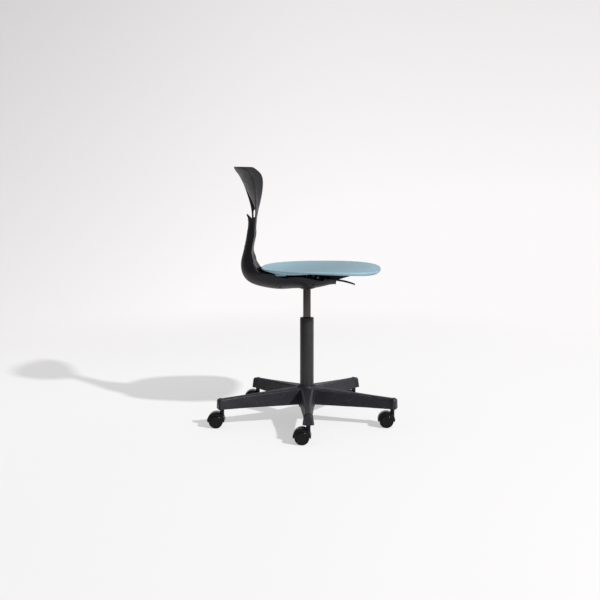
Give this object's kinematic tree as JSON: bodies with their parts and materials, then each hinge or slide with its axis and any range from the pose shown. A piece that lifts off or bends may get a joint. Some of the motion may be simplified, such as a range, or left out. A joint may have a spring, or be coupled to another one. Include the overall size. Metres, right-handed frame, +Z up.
{
  "type": "swivel chair",
  "caption": "Student swivel chair with a dished plastic seat, a fan-shaped back on a moulded spine, a gas lift and a star base on twin-wheel castors.",
  "frame": {"origin": "on the floor, on the axis of the column", "axes": "+X to the sitter's front, +Y to the sitter's left, +Z up along the column"},
  "size_m": [0.6777, 0.6316, 0.922],
  "materials": {
    "seat_plastic": "fine-grained moulded polypropylene, pale blue",
    "frame_plastic": "fine-grained moulded plastic, black",
    "base_plastic": "moulded nylon, black",
    "castor_plastic": "moulded nylon, black",
    "tread_rubber": "soft tread, black",
    "bush_plastic": "plain bearing plastic, black",
    "column_paint": "satin powder coat, black",
    "cylinder_chrome": "polished dark chrome",
    "bright_steel": "turned steel",
    "screw_steel": "blackened steel"
  },
  "bodies": {
    "base": {"star_base": "base_plastic", "column_tube": "column_paint", "guide_bush": "bush_plastic", "bearing_race": "bright_steel", "castor_stem_1": "bright_steel", "castor_stem_2": "bright_steel", "castor_stem_3": "bright_steel", "castor_stem_4": "bright_steel", "castor_stem_5": "bright_steel"},
    "rod": {"piston_rod": "bright_steel", "ball_cage": "bright_steel", "retaining_clip": "bright_steel"},
    "seat": {"seat_shell": "seat_plastic", "spine_frame": "frame_plastic", "backrest_shell": "frame_plastic", "bag_hook": "frame_plastic", "gas_cylinder": "cylinder_chrome", "taper_socket": "bright_steel", "lever_pivot_pin": "bright_steel", "seat_screws": "screw_steel", "backrest_screws": "screw_steel", "socket_screws": "screw_steel"},
    "lever": {"height_lever": "frame_plastic"},
    "valve": {"release_pin": "bright_steel"},
    "castor_1": {"castor_hood_1": "castor_plastic", "castor_axle_1": "bright_steel"},
    "wheel_right_1": {"castor_wheel_right_1": "castor_plastic", "castor_tread_right_1": "tread_rubber"},
    "wheel_left_1": {"castor_wheel_left_1": "castor_plastic", "castor_tread_left_1": "tread_rubber"},
    "castor_2": {"castor_hood_2": "castor_plastic", "castor_axle_2": "bright_steel"},
    "wheel_right_2": {"castor_wheel_right_2": "castor_plastic", "castor_tread_right_2": "tread_rubber"},
    "wheel_left_2": {"castor_wheel_left_2": "castor_plastic", "castor_tread_left_2": "tread_rubber"},
    "castor_3": {"castor_hood_3": "castor_plastic", "castor_axle_3": "bright_steel"},
    "wheel_right_3": {"castor_wheel_right_3": "castor_plastic", "castor_tread_right_3": "tread_rubber"},
    "wheel_left_3": {"castor_wheel_left_3": "castor_plastic", "castor_tread_left_3": "tread_rubber"},
    "castor_4": {"castor_hood_4": "castor_plastic", "castor_axle_4": "bright_steel"},
    "wheel_right_4": {"castor_wheel_right_4": "castor_plastic", "castor_tread_right_4": "tread_rubber"},
    "wheel_left_4": {"castor_wheel_left_4": "castor_plastic", "castor_tread_left_4": "tread_rubber"},
    "castor_5": {"castor_hood_5": "castor_plastic", "castor_axle_5": "bright_steel"},
    "wheel_right_5": {"castor_wheel_right_5": "castor_plastic", "castor_tread_right_5": "tread_rubber"},
    "wheel_left_5": {"castor_wheel_left_5": "castor_plastic", "castor_tread_left_5": "tread_rubber"}
  },
  "joints": [
    {"name": "seat_swivel", "type": "hinge", "parent": "base", "child": "rod", "pos_m": [0, 0, 0.06], "axis": [0, 0, 1], "continuous": true},
    {"name": "seat_height", "type": "slide", "parent": "rod", "child": "seat", "axis": [0, 0, 1], "range_m": [-0.1, 0.02]},
    {"name": "lever_pull", "type": "hinge", "parent": "seat", "child": "lever", "pos_m": [0.04, 0, 0.5268], "axis": [0, -1, 0], "range_deg": [0, 5.5], "stiffness_Nm_per_rad": 6, "springref_deg": -5.73},
    {"name": "valve_press", "type": "slide", "parent": "seat", "child": "valve", "axis": [0, 0, -1], "range_m": [0, 0.004]},
    {"name": "castor_1_swivel", "type": "hinge", "parent": "base", "child": "castor_1", "pos_m": [0.01781, -0.3185, 0.06], "axis": [0, 0, 1], "continuous": true},
    {"name": "wheel_right_1_spin", "type": "hinge", "parent": "castor_1", "child": "wheel_right_1", "pos_m": [-0.00319, -0.3185, 0.025], "axis": [0, 1, 0], "continuous": true},
    {"name": "wheel_left_1_spin", "type": "hinge", "parent": "castor_1", "child": "wheel_left_1", "pos_m": [-0.00319, -0.3185, 0.025], "axis": [0, 1, 0], "continuous": true},
    {"name": "castor_2_swivel", "type": "hinge", "parent": "base", "child": "castor_2", "pos_m": [0.30842, -0.08149, 0.06], "axis": [0, 0, 1], "continuous": true},
    {"name": "wheel_right_2_spin", "type": "hinge", "parent": "castor_2", "child": "wheel_right_2", "pos_m": [0.28742, -0.08149, 0.025], "axis": [0, 1, 0], "continuous": true},
    {"name": "wheel_left_2_spin", "type": "hinge", "parent": "castor_2", "child": "wheel_left_2", "pos_m": [0.28742, -0.08149, 0.025], "axis": [0, 1, 0], "continuous": true},
    {"name": "castor_3_swivel", "type": "hinge", "parent": "base", "child": "castor_3", "pos_m": [0.1728, 0.26814, 0.06], "axis": [0, 0, 1], "continuous": true},
    {"name": "wheel_right_3_spin", "type": "hinge", "parent": "castor_3", "child": "wheel_right_3", "pos_m": [0.1518, 0.26814, 0.025], "axis": [0, 1, 0], "continuous": true},
    {"name": "wheel_left_3_spin", "type": "hinge", "parent": "castor_3", "child": "wheel_left_3", "pos_m": [0.1518, 0.26814, 0.025], "axis": [0, 1, 0], "continuous": true},
    {"name": "castor_4_swivel", "type": "hinge", "parent": "base", "child": "castor_4", "pos_m": [-0.20162, 0.24721, 0.06], "axis": [0, 0, 1], "continuous": true},
    {"name": "wheel_right_4_spin", "type": "hinge", "parent": "castor_4", "child": "wheel_right_4", "pos_m": [-0.22262, 0.24721, 0.025], "axis": [0, 1, 0], "continuous": true},
    {"name": "wheel_left_4_spin", "type": "hinge", "parent": "castor_4", "child": "wheel_left_4", "pos_m": [-0.22262, 0.24721, 0.025], "axis": [0, 1, 0], "continuous": true},
    {"name": "castor_5_swivel", "type": "hinge", "parent": "base", "child": "castor_5", "pos_m": [-0.29741, -0.11536, 0.06], "axis": [0, 0, 1], "continuous": true},
    {"name": "wheel_right_5_spin", "type": "hinge", "parent": "castor_5", "child": "wheel_right_5", "pos_m": [-0.31841, -0.11536, 0.025], "axis": [0, 1, 0], "continuous": true},
    {"name": "wheel_left_5_spin", "type": "hinge", "parent": "castor_5", "child": "wheel_left_5", "pos_m": [-0.31841, -0.11536, 0.025], "axis": [0, 1, 0], "continuous": true}
  ],
  "couplings": [
    {"joint": "valve_press", "follows": "lever_pull", "m_per_rad": 0.04}
  ]
}
